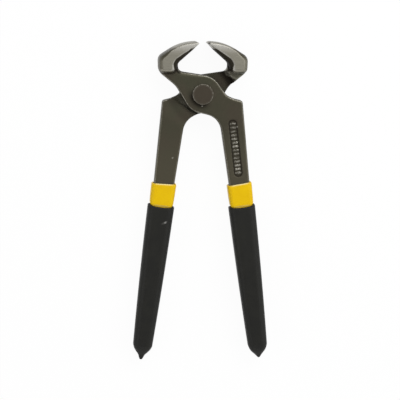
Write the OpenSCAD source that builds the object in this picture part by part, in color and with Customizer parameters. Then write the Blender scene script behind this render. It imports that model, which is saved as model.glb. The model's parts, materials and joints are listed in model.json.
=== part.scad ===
// End cutting nippers: two forged levers that cross at a rivet, with two-colour sleeves on the handles.
// They lie flat with the jaws toward +Y. The rear lever is the front lever turned over.

/* [Joint] */
// Radius of the round lap about the rivet
lap_r = 11.7; // [10.8:0.1:12.2]
// Thickness of each lap
lap_t = 5; // [4.4:0.1:6]
// Gap between the two laps
lap_gap = 0.1; // [0.06:0.02:0.3]
// Room round the lap of the other lever
lap_clear = 0.4; // [0.3:0.1:0.8]
// Radius that the jaw root leaves free for the other lever
recess_r = 19.2; // [18.6:0.1:20]
// Distance that the root's wall slopes back from there
root_slope = 1.4; // [0.6:0.1:1.8]
// Length of the slope from the joint up to the handle's face
ramp_l = 10; // [2.5:0.5:14]
// Angle that the jaws open from this pose
open_angle = 24; // [16:1:25]
// Angle of room past the open pose
open_clear = 1.2; // [0.8:0.1:2]
// Diameter of the rivet shank
rivet_d = 8; // [6:0.1:10]
// Play of the rivet in its bores, on the radius
rivet_clear = 0.05; // [0.02:0.01:0.1]
// Diameter of the rivet heads
head_d = 12.8; // [11:0.1:15]
// Height of the flat front head
head_h = 1.1; // [0.7:0.1:2]
// Bevel round the front head
head_bevel = 0.4; // [0.2:0.1:0.6]
// Height of the peened rear head
peen_h = 1.4; // [0.8:0.1:2]

/* [Jaws] */
// Width of the jaws along their cutting edges
jaw_w = 20; // [18:0.5:26]
// Height of the cutting edges above the rivet
edge_y = 31.4; // [30.6:0.1:33]
// Gap between the cutting edges in this pose
edge_gap = 5; // [3:0.1:6]
// Width of the facet behind each cutting edge
facet_w = 1.8; // [1.2:0.1:2.6]
// Rise of that facet
facet_rise = 0.8; // [0.4:0.1:1.2]
// Distance of the crown's bend from the middle
crown_x = 13.4; // [12:0.1:14.4]
// Height of the crown's bend
crown_y = 31.9; // [31.2:0.1:32.2]
// Radius of the crown's bend
crown_r = 30; // [18:1:36]
// Distance of the jaw backs from the middle
back_x = 27.5; // [26.4:0.1:28.6]
// Height of the back's upper corner
back_top = 22.9; // [21.6:0.1:24]
// Radius of the back's upper corner
back_top_r = 5; // [4:0.1:6]
// Height of the back's lower corner
back_low = 13.9; // [13:0.1:14.6]
// Radius of the back's lower corner
back_low_r = 7; // [5:0.1:8]
// Distance of the flank's bend from the middle
flank_x = 16.5; // [16:0.1:17.2]
// Height of the flank's bend
flank_y = 4.9; // [4.2:0.1:5.4]
// Radius of the flank's bend
flank_r = 14; // [6:0.5:16]
// Half width of the mouth between the jaws
mouth_x = 15.4; // [14.8:0.1:16]
// Height of the mouth's upper bend
mouth_top = 19.3; // [18.8:0.1:20.2]
// Radius of the mouth's upper bend
mouth_top_r = 4.5; // [3:0.1:5.5]
// Height of the mouth's floor at its corner
mouth_low = 14.2; // [13.6:0.1:14.6]
// Radius of the mouth's lower corner
mouth_low_r = 3.5; // [2.5:0.1:4]
// Width of the bevel round that corner
corner_bevel = 2.2; // [1.2:0.1:2.8]
// Bulge of the jaw's inner side between its edge and the upper bend
lip_out = 0.35; // [0.2:0.05:0.6]
// Width of the bevel on that bulge
lip_bevel = 2; // [0.8:0.1:2.6]
// Height where the ground cheek ends
cheek_low = 15.1; // [14.8:0.1:16]
// Width of the bevel inside the mouth, at its bend
inner_bevel = 3.1; // [2:0.1:3.8]
// Width of the rounding along the jaw's back
outer_round = 2.2; // [1.4:0.1:2.6]
// Depth of both below the cheek
bevel_depth = 4; // [2.5:0.1:4.4]
// Distance that the foot of the jaw leans in from the back
root_in = 0.4; // [0.2:0.1:0.8]
// Radius of the corners at the foot of the jaw
root_r = 3.2; // [2.8:0.1:3.6]

/* [Handles] */
// Thickness of the levers
plate_t = 8.4; // [7.4:0.1:9.4]
// Rounding of the forged edges
edge_round = 1; // [0.6:0.1:1.2]
// Lean of each handle from the middle line
handle_lean = 7.15; // [6.4:0.05:8]
// Distance of the handle's axis from the middle, level with the rivet
handle_x = 16.35; // [15.8:0.05:17]
// Half width that the handle would have level with the rivet
handle_hw = 7.9; // [7.6:0.1:8.3]
// Half width that each handle loses for each mm of its length
handle_taper = 0.0281; // [0.024:0.0005:0.03]
// Length of the handle's axis to the end of its tang
tang_end = 156.5; // [150:0.5:157]
// Distance of the shoulder's corner along the handle
shoulder_s = 5.1; // [4.4:0.1:5.8]
// Radius of the shoulder's corner
shoulder_r = 1.8; // [1.6:0.1:2.6]
// Distance of the notch from the middle
notch_x = 14.9; // [14.5:0.1:15.4]
// Drop of the notch below the rivet
notch_drop = 0.8; // [0.4:0.1:1.2]
// Radius of the notch
notch_r = 6; // [3:0.5:7]
// Dip of the shoulder's top below a straight line
shoulder_dip = 0.5; // [0.3:0.1:0.9]
// Radius of that dip
dip_r = 12; // [8:1:20]
// Metal between the lap and the crotch
crotch_web = 0.6; // [0.4:0.1:1.6]
// Middle of the sunken panel along the handle
panel_s = 33.6; // [31:0.1:35]
// Length of the panel
panel_l = 35.5; // [25:0.5:37]
// Width of the panel
panel_w = 5; // [4:0.1:6]
// Depth of the panel
panel_depth = 0.6; // [0.4:0.1:1]
// Count of the plain ribs in the panel
ribs = 14; // [6:1:16]
// Width of a rib
rib_w = 1; // [0.6:0.1:1.2]
// Height of a rib above the panel's floor
rib_h = 0.4; // [0.2:0.1:0.6]
// Margin between the ribs and the panel's edge
rib_margin = 0.8; // [0.5:0.1:1.2]

/* [Sleeves] */
// Distance of the collar's top along the handle
collar_s = 56; // [54:0.1:60]
// Length of the collar that shows
collar_l = 13.8; // [9:0.1:18]
// Wall of the collar where it shows
collar_wall = 1.2; // [0.9:0.1:1.6]
// Rounding of the collar's rims
collar_round = 0.6; // [0.3:0.1:0.8]
// Wall of the collar's tail inside the grip
tail_wall = 0.6; // [0.4:0.1:0.8]
// Length of the collar's tail
tail_l = 9; // [5:0.5:14]
// Fit of each sleeve on what it covers
sleeve_fit = 0.1; // [0.05:0.01:0.2]
// Half width of the grip at its rim
grip_hw = 8.25; // [8:0.05:8.8]
// Half thickness of the grip at its rim
grip_ht = 6.5; // [6.3:0.1:7.4]
// Half width of the grip where its end begins
grip_end_hw = 6.1; // [5.8:0.1:6.8]
// Half thickness of the grip where its end begins
grip_end_ht = 5.6; // [5.4:0.1:6.4]
// Swell of the grip halfway along
grip_swell = 0.28; // [0:0.02:0.6]
// Rounding of the grip's rim
rim_round = 0.35; // [0.2:0.05:0.5]
// Distance along the handle where the grip's end begins
grip_end = 157; // [154:0.1:160]
// Length that the grip's round end would have without its nib
dome_l = 8.8; // [7:0.1:10]
// Radius of the nib at its root
nib_root = 2.7; // [2:0.1:3.2]
// Radius of the nib's tip
nib_tip = 0.7; // [0.4:0.1:1]
// Length of the left grip's nib
left_nib_l = 4; // [2:0.1:5]
// Length of the right grip's nib, where the mould left less
right_nib_l = 3; // [2:0.1:5]

/* [Hidden] */
// Steps of an arc, of a sleeve's corner, of a grip's length, end and nib, and of a rounded edge
arc_steps = 9;
corner_steps = 5;
body_rings = 8;
dome_rings = 4;
nib_rings = 2;
round_steps = [0, 45, 90];
// Most that an arc takes up of the side beside it
arc_share = 0.94;
// Longer than any cut through the steel
through = 2 * (back_x + jaw_w);
// Corner radius of a grip as a share of its half thickness
grip_squareness = 0.72;
// Share of the opening sweep that the recess takes at its rim
rim_share = 0.91;
// Rise of the slope up to the handle's face, as shares of its length and of its depth
ramp_steps = [[0, 0], [0.1, 0.53], [0.34, 0.86], [2.2, 1.15]];
// Place of the inner bulge as a share of the way from the edge to the mouth's bend
lip_share = 0.35;
$fn = 96;

half_w = jaw_w / 2;
face_z = lap_gap / 2 + lap_t;
back_z = face_z - plate_t;
axis_z = (face_z + back_z) / 2;
half_t = plate_t / 2;
soft_r = 1.6 * edge_round;
tip_round = facet_w / 3;
crown_round = outer_round / 3;

// A point from its distance along the handle, its distance across and its height
function on_handle(s, u, z) = [
    handle_x + s * sin(handle_lean) + u * cos(handle_lean),
    -s * cos(handle_lean) + u * sin(handle_lean),
    z
];
function flat(p) = [p[0], p[1]];
function handle_half(s) = handle_hw - handle_taper * s;
function polar(r, a) = [r * cos(a), r * sin(a)];
function unit(v) = v / norm(v);
function mix(a, b, t) = a + (b - a) * t;

// Points of a corner [x, y, radius, inset] between its neighbours, each as [x, y, inset].
// Its arc takes up at most a share of the shorter side.
function corner(before, at, after) =
    let (q = flat(at), to = flat(before) - q, away = flat(after) - q)
    let (u = unit(to), v = unit(away), half = acos(u * v) / 2)
    let (r = min(at[2], arc_share * tan(half) * min(norm(to), norm(away))))
    let (c = q + unit(u + v) * r / sin(half), first = q + u * r / tan(half) - c)
    let (start = atan2(first[1], first[0]), side = cross(u, v) > 0 ? -1 : 1)
    r == 0 ? [[q[0], q[1], at[3]]] : [
        for (i = [0:arc_steps])
            let (p = c + polar(r, start + side * (180 - 2 * half) * i / arc_steps))
            [p[0], p[1], at[3]]
    ];
function rounded(corners) = [
    for (i = [0:len(corners) - 1])
        let (n = len(corners))
        each corner(corners[(i + n - 1) % n], corners[i], corners[(i + 1) % n])
];

// An outline drawn in by a share of each point's own inset, at height z
function drawn_in(pts, share, z) = [
    for (i = [0:len(pts) - 1])
        let (n = len(pts), p = flat(pts[i]))
        let (a = unit(p - flat(pts[(i + n - 1) % n])), b = unit(flat(pts[(i + 1) % n]) - p))
        let (na = [-a[1], a[0]], nb = [-b[1], b[0]])
        let (q = p + (na + nb) / (1 + na * nb) * pts[i][2] * share)
        [q[0], q[1], z]
];

// Triangles that fill a flat outline
function turn(a, b, c) = (b[0] - a[0]) * (c[1] - a[1]) - (b[1] - a[1]) * (c[0] - a[0]);
function holds(a, b, c, p) = turn(a, b, p) > 0 && turn(b, c, p) > 0 && turn(c, a, p) > 0;
function is_ear(pts, ids, i) =
    let (n = len(ids), a = pts[ids[(i + n - 1) % n]], b = pts[ids[i]], c = pts[ids[(i + 1) % n]])
    turn(a, b, c) > 0 && len([for (k = ids) if (holds(a, b, c, pts[k])) k]) == 0;
function ear(pts, ids, i = 0) = i == len(ids) - 1 || is_ear(pts, ids, i) ? i : ear(pts, ids, i + 1);
function filled(pts, ids) =
    let (n = len(ids), i = ear(pts, ids))
    n == 3 ? [ids] : concat(
        [[ids[(i + n - 1) % n], ids[i], ids[(i + 1) % n]]],
        filled(pts, [for (k = [0:n - 1]) if (k != i) ids[k]])
    );

// Walls between rings of points, and a solid closed by a lid at each end or by joining its ends
function walls(rings, n, closed) = [
    for (k = [0:rings - (closed ? 1 : 2)], i = [0:n - 1])
        let (up = (k + 1) % rings, j = (i + 1) % n)
        [k * n + i, up * n + i, up * n + j, k * n + j]
];
module stack(rings, lid) {
    n = len(rings[0]);
    last = (len(rings) - 1) * n;
    ends = concat(lid, [for (f = lid) [for (i = [len(f) - 1:-1:0]) f[i] + last]]);
    polyhedron([for (r = rings) each r], concat(ends, walls(len(rings), n, false)));
}
module sleeve(rings) {
    polyhedron([for (r = rings) each r], walls(len(rings), len(rings[0]), true));
}

// A slab of an outline between two heights, its edges rounded by each point's inset over a depth
module slab(pts, low, high, depth, steps) {
    up = [for (a = steps) drawn_in(pts, 1 - cos(a), high - depth * (1 - sin(a)))];
    down = [
        for (i = [len(steps) - 1:-1:0])
            let (a = steps[i])
            drawn_in(pts, 1 - cos(a), low + depth * (1 - sin(a)))
    ];
    stack(concat(down, up), filled(down[0], [for (i = [0:len(pts) - 1]) i]));
}

// Angle at which a line from a point touches the lap, on the side given by 1 or -1
function touch(p, side) = atan2(p[1], p[0]) + side * acos(lap_r / norm(p));
function lap_arc(from, to) = [
    for (i = [0:arc_steps])
        let (p = polar(lap_r, mix(from, to, i / arc_steps)))
        [p[0], p[1], edge_round]
];

// The crotch is an arc that touches both handles' inner edges, just below the lap
edge_lean = handle_lean + atan(handle_taper);
edge_normal = polar(1, edge_lean);
crotch_top = lap_r + crotch_web;
edge_reach = flat(on_handle(0, -handle_half(0), 0)) * edge_normal;
crotch_r = (edge_reach + sin(edge_lean) * crotch_top) / (1 - sin(edge_lean));
crotch_y = crotch_top + crotch_r;
crotch_turn = acos((lap_r + crotch_r) / crotch_y);
crotch_arc = [
    for (i = [0:2 * arc_steps])
        let (p = [0, -crotch_y] + polar(crotch_r, mix(90 - crotch_turn, edge_lean, i / (2 * arc_steps))))
        [p[0], p[1], edge_round]
];
crotch_end = crotch_arc[len(crotch_arc) - 1];

// Outline of the front jaw: facet, crown, back, root and the slope inside the mouth
edge = [-edge_gap / 2, edge_y];
mouth_bend = [-mouth_x, mouth_top];
inner_way = unit(mouth_bend - edge);
lip = mix(edge, mouth_bend, lip_share) + lip_out * [-inner_way[1], inner_way[0]];
jaw = rounded([
    [edge[0], edge[1], 0, 0],
    [-edge_gap / 2 - facet_w, edge_y + facet_rise, tip_round, tip_round / 2],
    [-crown_x, crown_y, crown_r, crown_round],
    [-back_x, back_top, back_top_r, outer_round],
    [-back_x + root_in, cheek_low - outer_round, root_r, outer_round],
    [-mouth_x - inner_bevel / 2, cheek_low - outer_round, root_r, outer_round],
    [-mouth_x, mouth_top, mouth_top_r, inner_bevel],
    [lip[0], lip[1], 0, lip_bevel]
]);

// Outline of the lever's plate: jaw root, flank, lap, crotch, handle and shoulder
flank = [-flank_x, flank_y];
notch = [notch_x, -notch_drop];
mouth_corner = [-mouth_x, mouth_low];
back_middle = (back_top + back_low) / 2 + outer_round;
shoulder = on_handle(shoulder_s, handle_half(shoulder_s), 0);
dip = mix(notch, flat(shoulder), 0.5) - [0, shoulder_dip];
tang_in = on_handle(tang_end, -handle_half(tang_end), 0);
tang_out = on_handle(tang_end, handle_half(tang_end), 0);
flank_touch = touch(flank, 1);
lap_low = polar(lap_r, flank_touch);
lap_right = polar(lap_r, touch(notch, 1));
lap_top = polar(lap_r, touch(mouth_corner, -1));
plate = concat(
    [[-mouth_x - inner_bevel, mouth_top + inner_bevel, edge_round]],
    corner([0, back_top], [-back_x, back_middle, soft_r, edge_round], [-back_x, 0]),
    corner([-back_x, back_top], [-back_x, back_low, back_low_r, edge_round], flank),
    corner([-back_x, back_low], [flank[0], flank[1], flank_r, edge_round], lap_low),
    lap_arc(flank_touch, 270 - crotch_turn),
    crotch_arc,
    corner(crotch_end, [tang_in[0], tang_in[1], soft_r, edge_round], tang_out),
    corner(tang_in, [tang_out[0], tang_out[1], soft_r, edge_round], shoulder),
    corner(tang_out, [shoulder[0], shoulder[1], shoulder_r, edge_round], dip),
    corner(shoulder, [dip[0], dip[1], dip_r, edge_round], notch),
    corner(dip, [notch[0], notch[1], notch_r, edge_round], lap_right),
    lap_arc(touch(notch, 1), touch(mouth_corner, -1)),
    corner(lap_top, [mouth_corner[0], mouth_corner[1], mouth_low_r, corner_bevel], [-mouth_x, mouth_top]),
    [[-mouth_x, mouth_top + outer_round / 2, corner_bevel]]
);

// The whole tool stands with the middle of its box at x = 0, y = 0 and its jaws on z = 0
tool_top = max([for (p = jaw) p[1]]);
nib_turn = acos(nib_root / grip_end_hw);
function nib_s(length) = grip_end + dome_l * sin(nib_turn) + length;
tool_low = on_handle(nib_s(max(left_nib_l, right_nib_l)), -nib_tip, 0)[1];
module placed(rear) {
    translate([0, -(tool_top + tool_low) / 2, half_w])
        rotate([0, rear ? 180 : 0, 0])
            children();
}

// What the other lever sweeps behind this one's lap, from shut to fully open.
// It shuts until the cutting edges meet.
sweep = -(open_angle + open_clear);
shut_angle = 2 * atan2(edge_gap / 2, edge_y);
function crotch_reach(a) =
    crotch_y * cos(a) - sqrt(crotch_r * crotch_r - pow(crotch_y * sin(a), 2));
room_r = lap_r + lap_clear;
flank_turn = atan2(flank_y, flank_x);
handle_sweep = concat(
    [[0, 0]],
    [polar(recess_r, 270 - shut_angle)],
    [polar(crotch_reach(shut_angle) + lap_clear, 270)],
    [polar(crotch_reach(0) + lap_clear, 270 + shut_angle)],
    [
        for (i = [0:arc_steps])
            polar(room_r, mix(270 + 2 * shut_angle, 540 - flank_touch + sweep, i / arc_steps))
    ],
    [polar(norm(flank) + lap_clear, flank_turn + sweep)],
    [polar(recess_r, flank_turn + sweep * rim_share)],
    [polar(recess_r, 0)],
    [[recess_r, recess_r]],
    [[0, recess_r]]
);
function ramp_ring(step, depth) =
    let (k = 1 + step[0] * ramp_l / room_r)
    [for (p = handle_sweep) [p[0] * k, p[1] * k, depth * step[1]]];
// The room for that sweep goes down from the lap. It slopes back under the handle and under the jaw root.
module swept_room() {
    depth = lap_gap / 2 - back_z;
    mirror([0, 0, 1]) {
        stack(
            [for (step = ramp_steps) ramp_ring(step, depth)],
            filled(handle_sweep, [for (i = [0:len(handle_sweep) - 1]) i])
        );
        cylinder(r = room_r, h = through);
        intersection() {
            union() {
                cylinder(r = recess_r, h = through);
                cylinder(r1 = recess_r, r2 = recess_r + root_slope, h = depth);
            }
            translate([-through, -through, 0])
                cube([through, 2 * through, through]);
        }
    }
}

module panel_cut() {
    translate([0, 0, face_z - panel_depth])
        linear_extrude(through)
            panel_outline(panel_w, panel_l);
}
module panel_outline(w, l) {
    translate([handle_x, 0])
        rotate(handle_lean)
            translate([0, -panel_s]) {
                square([w, l - w], center = true);
                for (end = [-1, 1])
                    translate([0, end * (l - w) / 2])
                        circle(d = w);
            }
}
module panel_ribs() {
    rib_l = panel_w - 2 * rib_margin;
    pitch = (panel_l - panel_w) / (ribs - 1);
    translate([handle_x, 0, face_z - panel_depth - rib_h])
        rotate(handle_lean)
            for (i = [0:ribs - 1])
                translate([-rib_l / 2, -panel_s + (i - (ribs - 1) / 2) * pitch - rib_w / 2, 0])
                    cube([rib_l, rib_w, 2 * rib_h]);
}

module lever() {
    difference() {
        union() {
            slab(plate, back_z, face_z, edge_round, round_steps);
            slab(jaw, -half_w, half_w, bevel_depth, round_steps);
        }
        translate([0, 0, lap_gap / 2])
            swept_room();
        cylinder(r = rivet_d / 2 + rivet_clear, h = 2 * through, center = true);
        panel_cut();
    }
    panel_ribs();
}

// A ring across the handle: half width, half thickness and corner radius
function ring(s, hw, ht, r) = [
    for (q = [0:3], i = [0:corner_steps])
        let (a = 90 * q + 90 * i / corner_steps)
        let (cu = (q == 0 || q == 3 ? 1 : -1) * (hw - r), cz = (q < 2 ? 1 : -1) * (ht - r))
        on_handle(s, cu + r * cos(a), axis_z + cz + r * sin(a))
];
// A ring that stands off the steel by a distance
function off_steel(s, d) = ring(s, handle_half(s) + d, half_t + d, edge_round + d);

collar_end = collar_s + collar_l;
tail_out = sleeve_fit + tail_wall;
collar_out = sleeve_fit + collar_wall;
module collar() {
    rim = [for (a = round_steps) off_steel(
        collar_s + collar_round * (1 - sin(a)), collar_out - collar_round * (1 - cos(a)))];
    foot = [for (a = round_steps) off_steel(
        collar_end - collar_round * (1 - sin(a)), collar_out - collar_round * (1 - cos(a)))];
    sleeve(concat(
        [off_steel(collar_end + tail_l, sleeve_fit), off_steel(collar_s, sleeve_fit)],
        [rim[2], rim[1], rim[0]],
        foot,
        [off_steel(collar_end, tail_out), off_steel(collar_end + tail_l, tail_out)]
    ));
}

grip_s = collar_end + sleeve_fit;
function grip_ring(s, hw, ht) = ring(s, hw, ht, grip_squareness * min(hw, ht));
module grip(nib_l) {
    tail_end = collar_end + tail_l + sleeve_fit;
    bore_end = tang_end + sleeve_fit;
    mouth_out = tail_out + sleeve_fit;
    rim = [for (a = [90, 45]) grip_ring(
        grip_s + rim_round * (1 - sin(a)),
        grip_hw - rim_round * (1 - cos(a)), grip_ht - rim_round * (1 - cos(a)))];
    body = [for (i = [0:body_rings])
        let (t = i / body_rings, swell = grip_swell * 4 * t * (1 - t))
        grip_ring(mix(grip_s + rim_round, grip_end, t),
            mix(grip_hw, grip_end_hw, t) + swell, mix(grip_ht, grip_end_ht, t) + swell)];
    dome = [for (i = [1:dome_rings])
        let (t = i / dome_rings, a = nib_turn * t)
        grip_ring(grip_end + dome_l * sin(a),
            grip_end_hw * cos(a), mix(grip_end_ht * cos(a), nib_root, t * t))];
    nib = [for (i = [1:nib_rings])
        let (t = i / nib_rings, r = mix(nib_root, nib_tip, sqrt(t)))
        grip_ring(nib_s(nib_l * t), r, r)];
    stack(concat(
        [off_steel(bore_end, sleeve_fit), off_steel(tail_end, sleeve_fit)],
        [off_steel(tail_end, mouth_out), off_steel(grip_s, mouth_out)],
        rim, body, dome, nib
    ), [[for (i = [0:4 * corner_steps + 3]) i]]);
}

module front_lever() {
    color("#44423a")
        placed(false)
            lever();
}
module rear_lever() {
    color("#3f4035")
        placed(true)
            lever();
}
module pivot_rivet() {
    peen_z = -face_z - lap_gap;
    color("#453f36")
        placed(false)
            rotate_extrude()
                polygon([
                    [0, peen_z - peen_h],
                    [head_d / 4, peen_z - peen_h],
                    [head_d / 2, peen_z - peen_h / 3],
                    [head_d / 2, peen_z],
                    [rivet_d / 2, peen_z],
                    [rivet_d / 2, face_z],
                    [head_d / 2, face_z],
                    [head_d / 2, face_z + head_h - head_bevel],
                    [head_d / 2 - head_bevel, face_z + head_h],
                    [0, face_z + head_h]
                ]);
}
module right_collar() {
    color("#e3bb12")
        placed(false)
            collar();
}
module left_collar() {
    color("#e3bb12")
        placed(true)
            collar();
}
module right_grip() {
    color("#2b2b29")
        placed(false)
            grip(right_nib_l);
}
module left_grip() {
    color("#2b2b29")
        placed(true)
            grip(left_nib_l);
}

front_lever();
rear_lever();
pivot_rivet();
right_collar();
left_collar();
right_grip();
left_grip();
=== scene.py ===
# End cutting nippers: the finish of every surface, in metres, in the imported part's own frame
import json
import math

import bmesh
import bpy
import numpy as np
from mathutils import Matrix, Vector


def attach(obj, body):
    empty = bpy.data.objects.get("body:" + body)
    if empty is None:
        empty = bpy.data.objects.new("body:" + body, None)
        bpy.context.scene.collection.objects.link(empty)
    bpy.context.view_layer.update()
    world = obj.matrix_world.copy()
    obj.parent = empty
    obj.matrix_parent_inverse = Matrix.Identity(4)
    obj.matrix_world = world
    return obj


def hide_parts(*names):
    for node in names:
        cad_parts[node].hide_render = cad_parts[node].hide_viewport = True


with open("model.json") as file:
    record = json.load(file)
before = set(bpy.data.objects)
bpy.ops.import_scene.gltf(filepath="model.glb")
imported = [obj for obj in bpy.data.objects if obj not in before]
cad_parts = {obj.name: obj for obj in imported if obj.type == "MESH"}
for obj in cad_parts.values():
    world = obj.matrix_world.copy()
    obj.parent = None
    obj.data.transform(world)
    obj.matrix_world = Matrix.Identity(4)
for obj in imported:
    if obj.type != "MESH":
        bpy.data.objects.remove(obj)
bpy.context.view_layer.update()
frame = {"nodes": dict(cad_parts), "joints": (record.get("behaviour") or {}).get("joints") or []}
scene = bpy.context.scene
mm = 0.001
pivot = np.array(frame["joints"][0]["pos_m"])
print("frame loaded with", len(frame["nodes"]), "nodes")


# Small tools

def linear(hexCode):
    parts = [int(hexCode[i:i + 2], 16) / 255 for i in (1, 3, 5)]
    return [c / 12.92 if c <= 0.04045 else ((c + 0.055) / 1.055) ** 2.4 for c in parts] + [1]


def perMetre(size):  # texture scale that gives features of a size in mm
    return 1 / (size * mm)


def addNode(tree, kind, links=None, **settings):
    made = tree.nodes.new(kind)
    for name, value in settings.items():
        setattr(made, name, value)
    for socket, source in (links or {}).items():
        if isinstance(source, bpy.types.NodeSocket):
            tree.links.new(source, made.inputs[socket])
        else:
            made.inputs[socket].default_value = source
    return made


def ends(value, fromLow, fromHigh, toLow=0, toHigh=1):  # the inputs of a Map Range node
    return {"Value": value, "From Min": fromLow, "From Max": fromHigh, "To Min": toLow, "To Max": toHigh}


# The Mix node's sockets by place: A and B as numbers, A and B as colours, and the colour it gives
numberA, numberB, colourA, colourB, colourOut = 2, 3, 6, 7, 2


def newMaterial(name):
    made = bpy.data.materials.new(name)
    made.use_nodes = True
    made.node_tree.nodes.clear()
    return made, made.node_tree


def smoothStep(low, high, value):
    t = np.clip((value - low) / (high - low), 0, 1)
    return t * t * (3 - 2 * t)


def addPiece(name, mesh, body, node, material):
    piece = bpy.data.objects.new(name, mesh)
    scene.collection.objects.link(piece)
    for face in mesh.polygons:
        face.use_smooth = True
    mesh.materials.clear()
    mesh.materials.append(material)
    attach(piece, body)
    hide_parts(node)


# Black oxide on forged steel: a thin olive-brown skin over a blasted forging, so the faces are dark and
# satin, edges are rubbed to bare grey steel with a painted highlight along them, sunk places stay sooty
# and shaded places get painted shade, and the jaw cheeks, ground after blacking, are pale and brighten
# toward the tips with painted light

steelLook = {
    "olive": "#454438", "brown": "#484339", "sootAndShade": "#1a1612", "wornAndLit": "#a8a59b",
    "groundFoot": "#838075", "groundTip": "#bbb9b3", "handled": "#4f4b3f",
    # mm; real grinding lines are about 0.1 mm and are drawn coarser to show
    "blotch": 14, "grain": 0.7, "rub": 1.6, "patch": 8, "lines": 0.5, "pits": 1.1, "fleck": 0.9,
    # Low and high end of each noise or tilt, and what they give where that isn't 0 and 1
    "tone": (0.35, 0.65), "rise": (0.35, 0.6), "fall": (0.9, 0.985, 1, 0), "fine": (0.32, 0.6, 0.45, 1),
    "broad": (0.38, 0.58, 0.6, 1), "glint": (0.42, 0.6, 0.12, 1), "lineShade": (0.3, 0.7, 0.95, 1.05),
    "pitShade": (0.26, 0.36, 0.72, 1), "roughness": (0.3, 0.7, 0.4, 0.52),
    "wornRoughness": 0.36, "groundRoughness": 0.46, "shine": 0.02, "lineStretch": (0.08, 1, 1),
    "bump": 0.25, "bumpDepth": 0.05,
}


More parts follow.
